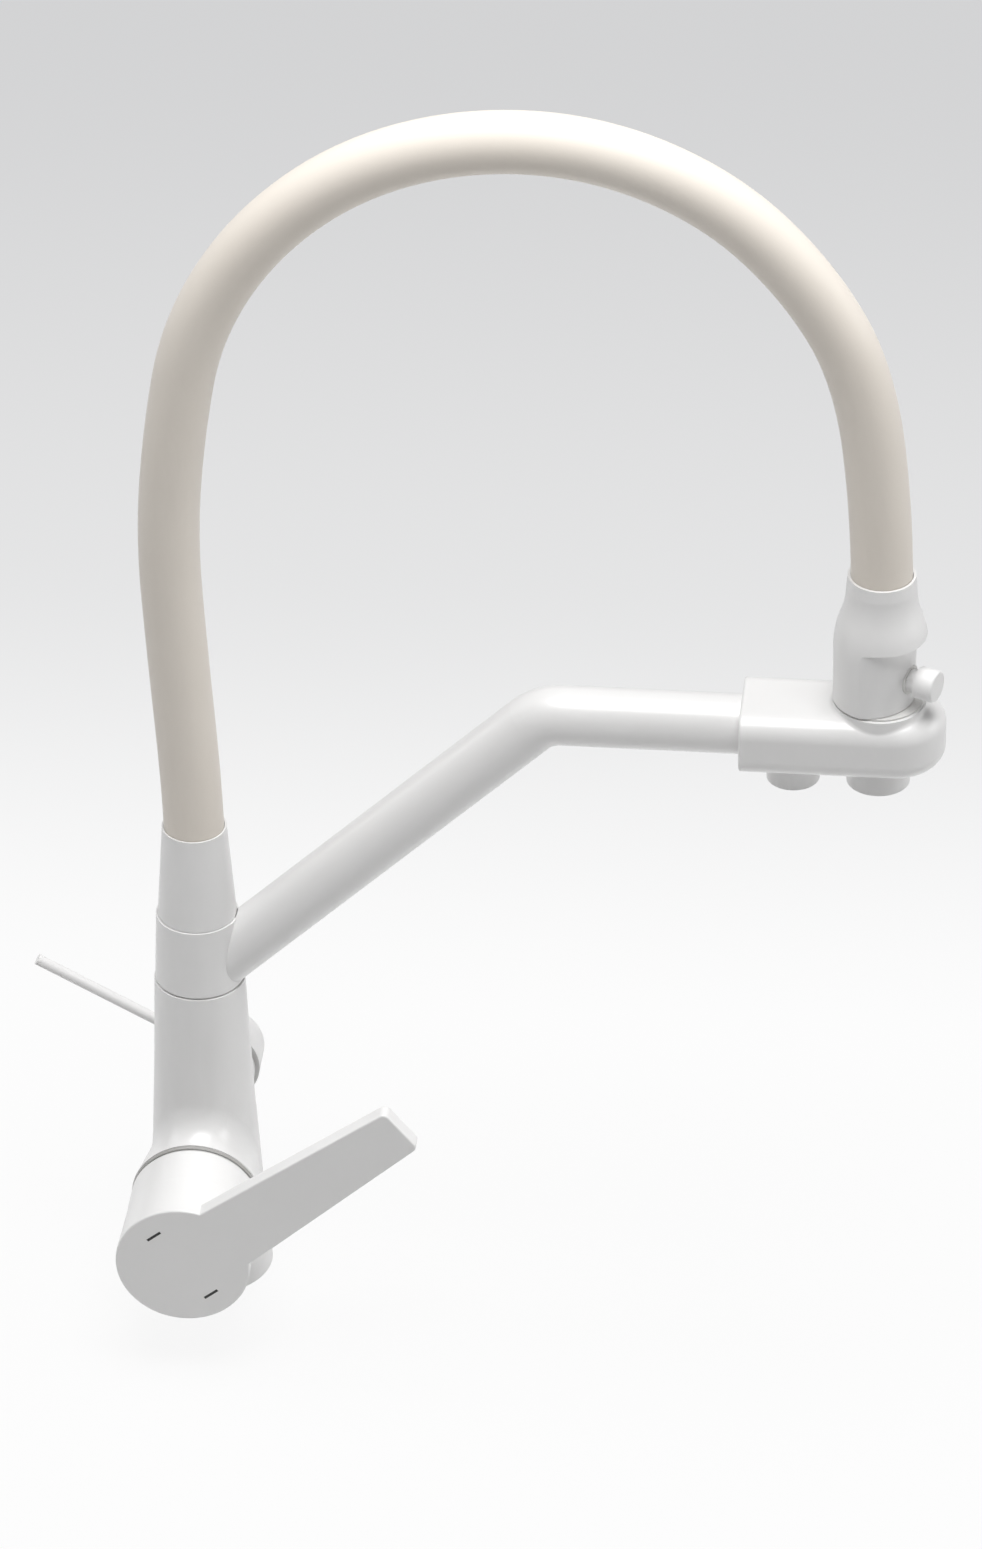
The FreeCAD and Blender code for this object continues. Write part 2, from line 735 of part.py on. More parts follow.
def filter_valve():
    """Quarter-turn valve at the back: headwork, spindle, knob, its thin rod and grub screw."""
    gap = size.press_gap
    pocket = size.valve_pocket_radius
    floor_ = size.valve_pocket_floor
    face = size.valve_boss_reach
    spindle = size.spindle_radius
    spindle_bore = spindle + gap
    body = turned("headwork", [
        (spindle_bore, floor_ + 0.1), (pocket - 0.1, floor_ + 0.1), (pocket - 0.1, face - 2.0),
        (pocket - 0.1, face + 1.5), (spindle_bore, face + 1.5)], BACK_AXIS, TO_BACK)
    keep(body, "filter_headwork")
    knob_foot = face + size.knob_gap
    knob_end = knob_foot + size.knob_length
    spindle_end = knob_end - 4.0
    keep(rod("spindle_bar", spindle, floor_ + 2.0, spindle_end, BACK_AXIS, TO_BACK),
         "filter_spindle")
    bore = size.knob_radius - size.knob_wall
    knob = turned("knob", [
        (bore, knob_foot), (size.knob_radius, knob_foot),
        (size.knob_radius, knob_end - 1.2), (size.knob_radius - 1.2, knob_end, 1.2),
        (0, knob_end), (0, spindle_end + 0.2), (spindle_bore, spindle_end + 0.2),
        (spindle_bore, knob_foot + 3.0),
        (8.5, knob_foot + 3.0), (8.5, knob_end - 4.5), (bore, knob_end - 4.5)],
        BACK_AXIS, TO_BACK)
    rod_place = (0, knob_foot + 9.0, size.valve_height)
    socket = rod("rod_socket", size.rod_radius + gap, 9.0, size.knob_radius + 1.0,
                 rod_place, ROD_TURN)
    grub = rod("knob_grub_bore", size.grub_radius, 0, size.knob_radius + 1.0,
               rod_place, DOWNWARD)
    keep(cut("filter_knob", knob, socket, grub), "filter_knob")
    keep(rod("pin_rod", size.rod_radius, 9.0, size.rod_length, rod_place, ROD_TURN),
         "filter_rod")
    keep(rod("knob_grub", size.grub_radius - gap, spindle_bore, 9.5, rod_place, DOWNWARD),
         "knob_grub_screw")


def swivel():
    """Slip washer, swivel ring with its spigot, and the two O-rings on it."""
    foot = SWIVEL_FOOT
    keep(tube("washer", size.washer_radius, size.column_bore_radius + 0.1,
              size.column_height, foot - 0.1), "slip_washer")
    spigot = size.column_bore_radius - size.running_gap
    groove = spigot - 2 * ORING_WIRE
    outline = [(size.gallery_radius, foot - size.spigot_length),
               (spigot, foot - size.spigot_length)]
    for drop in ORING_DROPS:
        low = foot - drop
        outline += [(spigot, low - 1.0), (groove, low - 1.0), (groove, low + 1.0),
                    (spigot, low + 1.0)]
    outline += [(spigot, foot), (size.swivel_foot_radius, foot),
                (size.swivel_top_radius, SWIVEL_TOP), (size.gallery_radius, SWIVEL_TOP)]
    ring = turned("ring", outline)
    hole = swept("arm_hole", arm_path(), size.arm_radius + size.press_gap)
    keep(cut("swivel_ring", ring, hole), "swivel_ring")
    rings = []
    for drop in ORING_DROPS:
        ring = doc.addObject("Part::Torus", "oring")
        bind(ring, "Radius1", spigot - ORING_WIRE)
        ring.Radius2 = ORING_WIRE
        rings.append(place(ring, (0, 0, foot - drop)))
    keep(joined("orings", *rings), "swivel_orings")


def rounded_path(label, corners, radii):
    """Straight runs through corners in the y = 0 plane, joined by tangent arcs."""
    edges = []
    start = corners[0]
    for corner, after, radius in zip(corners[1:-1], corners[2:], radii):
        before = (start - corner).normalize()
        onward = (after - corner).normalize()
        half = before.getAngle(onward) / 2
        run = radius / math.tan(half)
        first = corner + before * run
        last = corner + onward * run
        inward = (before + onward).normalize()
        crest = corner + inward * (radius / math.sin(half) - radius)
        edges.append(Part.LineSegment(start, first).toShape())
        edges.append(Part.Arc(first, crest, last).toShape())
        start = last
    edges.append(Part.LineSegment(start, corners[-1]).toShape())
    return path_object(label, edges)


def path_object(label, edges):
    path = doc.addObject("Part::Feature", label)
    path.Shape = Part.Wire(edges)
    return path


def swept(label, path, radius):
    """A round bar along a path."""
    wire = path.Shape
    edge = wire.Edges[0]
    start = edge.valueAt(edge.FirstParameter)
    along = edge.tangentAt(edge.FirstParameter)
    ring = doc.addObject("Part::Circle", label + "_ring")
    bind(ring, "Radius", radius)
    ring.Placement = FreeCAD.Placement(start, FreeCAD.Rotation(Vector(0, 0, 1), along))
    sweep = doc.addObject("Part::Sweep", label)
    sweep.Sections = [ring]
    sweep.Spine = (path, ["Edge%d" % index for index in range(1, len(wire.Edges) + 1)])
    sweep.Solid = True
    sweep.Frenet = False
    return sweep


def arm_path(start_x=6.0, past_block=6.0):
    """Up the slope from the swivel ring, a tight bend, then level into the block."""
    bend_x = size.arm_bend_x.value
    height = ARM_HEIGHT.value
    rise = math.tan(math.radians(size.arm_slope.value))
    corners = [
        Vector(start_x, 0, height - (bend_x - start_x) * rise),
        Vector(bend_x, 0, height),
        Vector(BLOCK_START.value + past_block, 0, height)]
    return rounded_path("arm_path", corners, [size.arm_bend_radius.value])


def spout_arm():
    """The bent tube between the swivel ring and the block, and the filter tube inside it."""
    outer = swept("arm_outer", arm_path(), size.arm_radius)
    bore = swept("arm_bore", arm_path(past_block=8.0), size.arm_bore_radius)
    ring_side = rod("ring_side", size.swivel_foot_radius - 1.6, SWIVEL_FOOT - 30.0,
                    SWIVEL_TOP + 10.0)
    below_seam = rod("below_seam", size.swivel_foot_radius + 12.0, SWIVEL_FOOT - 30.0,
                     SWIVEL_FOOT)
    keep(cut("spout_arm", outer, bore, ring_side, below_seam), "spout_arm")
    tube_start = size.gallery_radius.value + 2.0
    line = swept("filter_line", arm_path(tube_start, 10.0), size.filter_tube_radius)
    hollow = swept("filter_line_bore", arm_path(tube_start - 1.0, 11.0), size.filter_tube_bore)
    keep(cut("filter_tube", line, hollow), "filter_tube")


def collar_seam(shape):
    """The edges where the collar leaves the block's rounded top."""
    seam = []
    for index, edge in enumerate(shape.Edges, start=1):
        middle = edge.BoundBox.Center.z
        upright = edge.BoundBox.ZLength > size.block_thickness.value / 2
        on_collar = any(
            face.Surface.TypeId == "Part::GeomCylinder" and
            abs(face.Surface.Radius - size.dock_radius.value) < 0.01
            for face in shape.ancestorsOfType(edge, Part.Face))
        if on_collar and not upright and ARM_HEIGHT.value < middle < DOCK_TOP.value - 0.5:
            seam.append(index)
    return seam


def outlet_block():
    """Rounded block with the raised dock, bored for the head, the arm and the filter outlet."""
    body = doc.addObject("PartDesign::Body", "block_body")
    sketch = new_sketch(body, "block", "XY_Plane")
    half = size.block_half_width
    centre = BLOCK_END - half
    draw_outline(sketch, [
        (BLOCK_START, -half), (centre, -half), (BLOCK_END, 0, half),
        (centre, half, half), (BLOCK_START, half)])
    pad = body.newObject("PartDesign::Pad", "block_pad")
    pad.Profile = sketch
    bind(pad, "Length", size.block_thickness)
    doc.recompute()
    level = [
        "Edge%d" % index for index, edge in enumerate(pad.Shape.Edges, start=1)
        if edge.BoundBox.ZLength < 0.01 and edge.BoundBox.XLength > 1]
    rounds = body.newObject("PartDesign::Fillet", "block_rounds")
    rounds.Base = (pad, level)
    bind(rounds, "Radius", size.block_edge_radius)
    doc.recompute()
    end_edges = [
        "Edge%d" % index for index, edge in enumerate(rounds.Shape.Edges, start=1)
        if edge.BoundBox.XMax < BLOCK_START.value + 0.01]
    softened = body.newObject("PartDesign::Fillet", "block_end")
    softened.Base = (rounds, end_edges)
    bind(softened, "Radius", size.block_end_radius)
    place(body, (0, 0, BLOCK_FLOOR))
    collar = rod("collar", size.dock_radius, BLOCK_FLOOR + 4.0, DOCK_TOP, HEAD_AXIS)
    plain = joined("block_and_collar", body, collar)
    doc.recompute()
    solid = filleted("block_solid", plain, [(collar_seam(plain.Shape), size.dock_blend)])
    gap = size.press_gap
    along_arm = (0, 0, ARM_HEIGHT)
    outlet_place = (OUTLET_REACH, 0, 0)
    tools = [
        rod("bush_bore", size.bush_radius + gap, BLOCK_FLOOR - 1.0, DOCK_TOP + 1.0,
            HEAD_AXIS),
        rod("magnet_bore", size.magnet_radius + gap, MAGNET_FOOT, FLANGE_FOOT, HEAD_AXIS),
        rod("flange_bore", size.bush_flange_radius + gap, FLANGE_FOOT, DOCK_TOP + 1.0,
            HEAD_AXIS),
        rod("arm_socket", size.arm_radius + gap, BLOCK_START - 1.0, BLOCK_START + 6.0,
            along_arm, TO_RIGHT),
        rod("filter_gallery", size.filter_tube_radius + gap, BLOCK_START,
            OUTLET_REACH, along_arm, TO_RIGHT),
        rod("outlet_bore", OUTLET_SPIGOT + gap, BLOCK_FLOOR - 1.0, ARM_HEIGHT - 4.0,
            outlet_place),
        rod("outlet_chamber", OUTLET_SPIGOT - 2.0, BLOCK_FLOOR, ARM_HEIGHT + 2.0,
            outlet_place)]
    keep(cut("outlet_block", solid, *tools), "outlet_block")


def block_fittings():
    """Dock bush, dock magnet, filter outlet and its aerator."""
    gap = size.press_gap
    bore = size.bush_bore_radius
    keep(turned("bush", [
        (bore, BLOCK_FLOOR + 1.0), (size.bush_radius, BLOCK_FLOOR + 1.0),
        (size.bush_radius, FLANGE_FOOT), (size.bush_flange_radius, FLANGE_FOOT),
        (size.bush_flange_radius, FLANGE_TOP), (bore, FLANGE_TOP)], HEAD_AXIS), "dock_bush")
    keep(tube("magnet", size.magnet_radius, size.bush_radius + 0.1, MAGNET_FOOT + gap,
              FLANGE_FOOT - 0.2, HEAD_AXIS), "dock_magnet")
    foot = BLOCK_FLOOR - size.filter_outlet_drop
    outlet_place = (OUTLET_REACH, 0, 0)
    insert = size.filter_outlet_radius - 1.5
    keep(turned("outlet", [
        (insert, foot), (size.filter_outlet_radius, foot),
        (size.filter_outlet_radius, BLOCK_FLOOR - gap), (OUTLET_SPIGOT, BLOCK_FLOOR - gap),
        (OUTLET_SPIGOT, ARM_HEIGHT - 4.1), (OUTLET_SPIGOT - 2.2, ARM_HEIGHT - 4.1),
        (OUTLET_SPIGOT - 2.2, foot + 7.0), (insert, foot + 7.0)], outlet_place),
        "filter_outlet")
    keep(perforated("aerator", insert - gap, foot + 0.8, foot + 6.9, 0.7,
                    [(0, 1), (2.7, 6), (5.4, 12)], outlet_place), "filter_aerator")


def perforated(label, radius, start, end, hole_radius, rings, where):
    """A disc with rings of small holes, each ring a radius and a count."""
    disc = rod(label + "_disc", radius, start, end, where)
    holes = []
    for ring_radius, count in rings:
        for step in range(count):
            angle = 2 * math.pi * step / count
            spot = (where[0] + ring_radius * math.cos(angle),
                    where[1] + ring_radius * math.sin(angle), where[2])
            holes.append(rod(label + "_hole", hole_radius, start - 1.0, end + 1.0, spot))
    return cut(label, disc, *holes)


def hose_path(start, end):
    """Upright out of the ferrule, a slight lean back, then three arcs over to the head.

    The rear, crown and front arcs run into each other without a corner, and the outer two end
    upright: the rear one over the leaning line, the front one over the head's axis.
    """
    rear = size.hose_rear_radius.value
    front = size.hose_front_radius.value
    lean = -size.hose_lean.value
    reach = size.head_reach.value
    crown = (reach - lean) / 2 - size.hose_crown_inset.value
    crown_x = (lean + reach) / 2
    crown_z = HOSE_START.value + size.hose_rise.value - crown
    rear_turn = math.acos((rear + lean - crown_x) / (rear - crown))
    front_turn = math.acos((front - reach + crown_x) / (front - crown))
    rear_z = crown_z - (rear - crown) * math.sin(rear_turn)
    front_z = crown_z - (front - crown) * math.sin(front_turn)

    def arc(centre_x, centre_z, radius, first, last):
        spots = []
        for angle in (first, (first + last) / 2, last):
            spots.append(Vector(centre_x - radius * math.cos(angle), 0,
                                centre_z + radius * math.sin(angle)))
        return Part.Arc(*spots).toShape()

    lean_start = HOSE_START.value + size.hose_straight.value
    lean_end = lean_start + size.hose_lean_length.value
    half = (lean_end - lean_start) / 2
    drift = abs(lean) / 2
    bend = (half * half + drift * drift) / (2 * drift)
    turn = math.asin(half / bend)
    edges = [Part.LineSegment(Vector(0, 0, start), Vector(0, 0, lean_start)).toShape()]
    edges.append(Part.Arc(
        Vector(0, 0, lean_start),
        Vector(-bend + bend * math.cos(turn / 2), 0, lean_start + bend * math.sin(turn / 2)),
        Vector(lean / 2, 0, lean_start + half)).toShape())
    edges.append(Part.Arc(
        Vector(lean / 2, 0, lean_start + half),
        Vector(lean + bend - bend * math.cos(turn / 2), 0, lean_end - bend * math.sin(turn / 2)),
        Vector(lean, 0, lean_end)).toShape())
    edges.append(Part.LineSegment(Vector(lean, 0, lean_end), Vector(lean, 0, rear_z)).toShape())
    edges.append(arc(lean + rear, rear_z, rear, 0, rear_turn))
    edges.append(arc(crown_x, crown_z, crown, rear_turn, math.pi - front_turn))
    edges.append(arc(reach - front, front_z, front, math.pi - front_turn, math.pi))
    edges.append(Part.LineSegment(Vector(reach, 0, front_z), Vector(reach, 0, end)).toShape())
    path = path_object("hose_path", edges)
    radii = ", ".join("%.0f" % value for value in (bend, bend, rear, crown, front))
    print("hose arcs of radius %s mm, %.0f mm long" % (radii, path.Shape.Length))
    return path


def hose():
    """Ferrule, nipple, silicone hose and the water hose inside it."""
    gap = size.press_gap
    start = HOSE_START
    foot = SWIVEL_TOP + 0.3
    bore = size.hose_radius + size.fit_gap
    keep(turned("ferrule", [
        (size.water_hose_radius + 2.5, foot), (size.ferrule_foot_radius, foot),
        (size.ferrule_rim_radius, FERRULE_TOP), (bore, FERRULE_TOP),
        (bore, start - 0.2), (size.water_hose_radius + 2.5, start - 0.2)]), "hose_ferrule")
    nipple_foot = SWIVEL_TOP - 9.0
    barb = size.water_hose_bore - gap
    keep(turned("nipple", [
        (2.8, nipple_foot), (size.gallery_radius - gap, nipple_foot),
        (size.gallery_radius - gap, SWIVEL_TOP), (size.water_hose_radius + 2.4, SWIVEL_TOP),
        (size.water_hose_radius + 2.4, SWIVEL_TOP + 5.0), (barb, SWIVEL_TOP + 5.0),
        (barb, SWIVEL_TOP + 22.0), (2.8, SWIVEL_TOP + 22.0)]), "hose_nipple")
    sleeve_path = hose_path(start.value, HOSE_END.value)
    sleeve = swept("sleeve_outer", sleeve_path, size.hose_radius)
    hollow_path = hose_path(start.value - 1.0, HOSE_END.value - 1.0)
    hollow = swept("sleeve_bore", hollow_path, size.hose_radius - size.hose_wall)
    keep(cut("silicone_hose", sleeve, hollow), "silicone_hose")
    inner_start = SWIVEL_TOP.value + 5.1
    inner_end = NUT_TOP.value + 0.1
    line = swept("water_line", hose_path(inner_start, inner_end), size.water_hose_radius)
    line_bore = swept("water_line_bore", hose_path(inner_start - 1.0, inner_end - 1.0),
                      size.water_hose_bore)
    keep(cut("inner_water_hose", line, line_bore), "inner_water_hose")


def head_cowl():
    """Outer casting of the spray head, scooped out round the button below its lip."""
    gap = size.press_gap
    bore = size.spray_core_radius + gap
    hose_bore = size.hose_radius + size.fit_gap
    shoulder = SKIRT_TOP + size.skirt_shoulder
    shell = turned("cowl_shell", [
        (bore, HEAD_REST), (size.skirt_radius - 0.1, HEAD_REST), (size.skirt_radius, SKIRT_TOP),
        (size.skirt_radius - size.shoulder_inset, shoulder, size.shoulder_radius),
        (size.sleeve_radius, RIM_HEIGHT - size.sleeve_length, -size.neck_curve_radius),
        (size.rim_radius, RIM_HEIGHT), (hose_bore, RIM_HEIGHT), (hose_bore, HOSE_END - 0.3),
        (bore, HOSE_END - 0.3)], HEAD_AXIS)
    place_of_bush = bush_space(size.button_bush_radius + gap)
    keep(cut("head_cowl", shell, scoop(), place_of_bush), "head_cowl")


def scoop():
    """The space cut from the skirt: outside a wider drum that stands off the head's axis.

    The drum meets the skirt at the scoop's half angle either side of the button, comes down to
    the waist at the button itself, and flares out under the lip.
    """
    skirt = size.skirt_radius
    waist = size.scoop_waist
    offset = (skirt * skirt - waist * waist) / (2 * (waist - skirt * cosine(size.scoop_half_angle)))
    drum_radius = waist + offset
    cove = size.scoop_cove
    azimuth = math.radians(size.button_azimuth.value)
    drum_place = (size.head_reach - offset * math.cos(azimuth), offset * math.sin(azimuth), 0)
    drum = turned("scoop_drum", [
        (0, HEAD_REST - 2.0), (drum_radius, HEAD_REST - 2.0), (drum_radius, LIP_HEIGHT - cove),
        (drum_radius + 1.5 * cove, LIP_HEIGHT + 0.5, -2.0 * cove), (0, LIP_HEIGHT + 0.5)],
        drum_place)
    room = rod("scoop_room", skirt + 10.0, HEAD_REST - 1.0, LIP_HEIGHT, HEAD_AXIS)
    return cut("scoop", room, drum)


def bush_space(radius):
    """A round way in for the button, along its own axis."""
    return rod("button_way", radius, BUTTON_SEAT, size.skirt_radius + 12.0, BUTTON_PLACE,
               BUTTON_TURN)


def spray_body():
    """Inner body of the head, from the hose spigot through the dock to the nozzle."""
    gap = size.press_gap
    core = size.spray_core_radius
    keeper = size.nozzle_radius - KEEPER_DEPTH
    face_seat = NOZZLE_BOTTOM + 3.6
    bore = size.spray_bore
    body = turned("spray_turning", [
        (size.nozzle_radius - 0.9, NOZZLE_BOTTOM), (size.nozzle_radius, NOZZLE_BOTTOM),
        (size.nozzle_radius, MAGNET_FOOT), (keeper, MAGNET_FOOT),
        (keeper, FLANGE_FOOT - 0.2), (size.nozzle_radius, FLANGE_FOOT - 0.2),
        (size.nozzle_radius, HEAD_REST - gap), (core, HEAD_REST - gap),
        (core, HOSE_END - 0.4), (bore, HOSE_END - 0.4),
        (bore, face_seat), (size.nozzle_radius - 0.9, face_seat)], HEAD_AXIS)
    stem_bore = rod("stem_bore", size.button_stem_radius + size.running_gap, 0, BUTTON_SEAT,
                    BUTTON_PLACE, BUTTON_TURN)
    keep(cut("spray_body", body, bush_space(size.button_bush_radius + gap), stem_bore),
         "spray_body")
    keep(tube("keeper", size.nozzle_radius - gap, keeper + gap, MAGNET_FOOT + 0.1,
              FLANGE_FOOT - 0.3, HEAD_AXIS), "head_keeper_ring")
    keep(perforated("spray", size.nozzle_radius - 0.95, NOZZLE_BOTTOM + 0.5,
                    face_seat - gap, 0.8, [(0, 1), (2.9, 6), (5.6, 12), (8.3, 18)], HEAD_AXIS),
         "spray_face")
    valve_foot = BUTTON_HEIGHT + 5.0
    keep(tube("check_valve", bore - gap, 2.6, valve_foot, NUT_FOOT - 0.1, HEAD_AXIS),
         "non_return_valve")
    barb = size.water_hose_bore - gap
    keep(turned("hose_nut_turning", [
        (2.6, NUT_FOOT), (bore - gap, NUT_FOOT), (bore - gap, NUT_TOP),
        (barb, NUT_TOP), (barb, NUT_TOP + 14.0), (2.6, NUT_TOP + 14.0)], HEAD_AXIS), "hose_nut")


def mode_button():
    """Push button that changes the jet: its bush, cap with neck and stem, and return sleeve."""
    gap = size.press_gap
    neck = size.button_neck_radius
    stem = size.button_stem_radius
    neck_foot = BUTTON_SEAT + size.button_travel + 1.4
    keep(tube("button_ring", size.button_bush_radius, neck + size.running_gap, BUTTON_SEAT + gap,
              BUTTON_SEAT + 4.1, BUTTON_PLACE, BUTTON_TURN), "button_bush")
    keep(turned("button_cap", [
        (0, STEM_TIP), (stem, STEM_TIP), (stem, neck_foot),
        (neck, neck_foot), (neck, size.button_back), (size.button_radius, size.button_back),
        (size.button_radius, size.button_face - 0.9),
        (size.button_radius - 0.9, size.button_face, 0.9), (0, size.button_face)],
        BUTTON_PLACE, BUTTON_TURN), "mode_button")
    keep(tube("return_sleeve", neck - 0.2, stem + 0.3, BUTTON_SEAT + gap, neck_foot - gap,
              BUTTON_PLACE, BUTTON_TURN), "button_return_sleeve")


def mounting():
    """Base seal, shank with the inlet threads, rubber washer, steel washer and nut."""
    seal = size.base_seal_radius
    keep(tube("seal_ring", seal, seal - 2.2, 0, 1.45), "base_seal")
    under = -size.worktop_gap
    tip_top = size.shank_tip_length - size.shank_length
    shank = turned("shank", [
        (0, -size.shank_length), (size.shank_tip_radius, -size.shank_length),
        (size.shank_tip_radius, tip_top), (size.shank_thread_radius, tip_top),
        (size.shank_thread_radius, under), (size.shank_radius, under), (size.shank_radius, 0),
        (0, 0)])
    holes = []
    for across, back in inlet_spots():
        spot = (across, back, 0)
        holes.append(rod("inlet_thread", size.inlet_radius, -size.shank_length - 1.0,
                         size.inlet_depth - size.shank_length, spot))
        holes.append(rod("inlet_way", size.water_way_radius, -size.shank_length, 1.0, spot))
    keep(cut("mounting_shank", shank, *holes), "mounting_shank")
    bore = size.shank_thread_radius + 0.3
    clamp = size.clamp_radius
    keep(tube("rubber_ring", clamp, bore, under - size.rubber_thickness, under),
         "rubber_washer")
    steel_top = under - size.rubber_thickness
    keep(tube("steel_ring", clamp - 0.5, bore, steel_top - size.steel_thickness, steel_top),
         "steel_washer")
    nut_top = steel_top - size.steel_thickness
    nut_foot = nut_top - size.clamp_nut_height
    hexagon = doc.addObject("Part::Prism", "nut_hexagon")
    hexagon.Polygon = 6
    bind(hexagon, "Circumradius", size.clamp_nut_radius)
    bind(hexagon, "Height", size.clamp_nut_height)
    place(hexagon, (0, 0, nut_foot))
    thread = rod("nut_thread", size.shank_thread_radius + size.press_gap, nut_foot - 1.0,
                 nut_top + 1.0)
    keep(cut("clamp_nut", hexagon, thread), "clamp_nut")


def check_shapes(nodes):
    for node in nodes:
        if node.Shape.isNull() or not node.Shape.isValid() or not node.Shape.Solids:
            raise RuntimeError("%s has a bad shape" % node.Label)


def main():
    tap_body()
    boss_ring()
    mixing_cartridge()
    mixer_lever()
    filter_valve()
    swivel()
    spout_arm()
    outlet_block()
    block_fittings()
    hose()
    head_cowl()
    spray_body()
    mode_button()
    mounting()
    doc.recompute()
    for thing in doc.Objects:
        if "Invalid" in thing.State or "Error" in thing.State:
            raise RuntimeError("%s failed: %s" % (thing.Name, thing.State))
    check_shapes(NODES)
    os.makedirs("parts", exist_ok=True)
    for node in NODES:
        node.Shape.exportStep("parts/%s.step" % node.Label)
        print("%-22s %d solids %9.0f mm3" % (node.Label, len(node.Shape.Solids), node.Shape.Volume))


main()
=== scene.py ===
"""Looks of the kitchen mixer tap: its finishes, the silicone hose and the studio round it."""

import json
import math

import bmesh
import bpy
from mathutils import Matrix, Vector


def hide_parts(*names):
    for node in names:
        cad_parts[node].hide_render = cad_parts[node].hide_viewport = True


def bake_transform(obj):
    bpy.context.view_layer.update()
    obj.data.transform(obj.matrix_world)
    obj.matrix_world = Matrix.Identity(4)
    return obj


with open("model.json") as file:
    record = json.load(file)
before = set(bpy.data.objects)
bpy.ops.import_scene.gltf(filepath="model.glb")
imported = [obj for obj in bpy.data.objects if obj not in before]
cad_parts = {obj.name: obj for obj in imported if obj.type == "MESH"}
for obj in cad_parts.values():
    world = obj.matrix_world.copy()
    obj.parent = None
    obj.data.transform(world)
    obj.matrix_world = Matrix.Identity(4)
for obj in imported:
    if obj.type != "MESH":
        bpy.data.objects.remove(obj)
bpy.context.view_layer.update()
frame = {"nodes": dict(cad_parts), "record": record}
nodes = frame["nodes"]

# Both hoses, in metres: radii, walls, the heights of their ends, and how far out the head is
HOSE_RADIUS = 0.0112
HOSE_WALL = 0.003
HOSE_FOOT = 0.192
HOSE_TIP = 0.315
WATER_HOSE_RADIUS = 0.0055
WATER_HOSE_WALL = 0.0015
WATER_HOSE_FOOT = 0.167
WATER_HOSE_TIP = 0.302
HEAD_REACH = 0.2531

# Points across and up that steer both hoses between their two ends
HOSE_ROUTE = [
    (0, 0.214), (-0.004, 0.281), (-0.006, 0.327), (-0.002, 0.371), (0.006, 0.415),
    (0.029, 0.454), (0.064, 0.483), (0.107, 0.497), (0.153, 0.495), (0.195, 0.476),
    (0.226, 0.444), (0.246, 0.406), (HEAD_REACH, 0.345)]

# The floor's half width in metres, the share of its colour that shows unlit, the sky's strength
FLOOR_HALF_WIDTH = 8.0
FLOOR_UNLIT_SHARE = 0.9
SKY_STRENGTH = 0.155

# The photograph's size and the place of the tap's foot in it, in pixels
PHOTO_WIDTH = 982.0
PHOTO_HEIGHT = 1549.0
FOOT_ACROSS = 210.65
FOOT_DOWN = 1255.63

# The camera: its lens in pixels of the photograph, its sensor in millimetres, distances in metres
LENS = 8000.0
SENSOR_SIZE = 36.0
DISTANCE = 3.0769
FARTHEST_SEEN = 30.0

# How the camera looks down, leans and stands round the tap, in degrees
PITCH = 34.0
ROLL = -0.75
TURN_ABOUT_TAP = 6.2


class Value:
    """A shader socket on which arithmetic adds Math nodes."""

    def __init__(self, finish, socket):
        self.finish = finish
        self.socket = socket

    def combine(self, operation, first, second):
        """The result of one Math node on two values or numbers."""
        return self.finish.node("ShaderNodeMath", {"operation": operation}, {0: first, 1: second})

    def __add__(self, other):
        return self.combine("ADD", self, other)

    def __radd__(self, other):
        return self.combine("ADD", other, self)

    def __mul__(self, other):
        return self.combine("MULTIPLY", self, other)

    def __rmul__(self, other):
        return self.combine("MULTIPLY", other, self)

    def part(self, name):
        """Another output of the same node."""
        return Value(self.finish, self.socket.node.outputs[name])


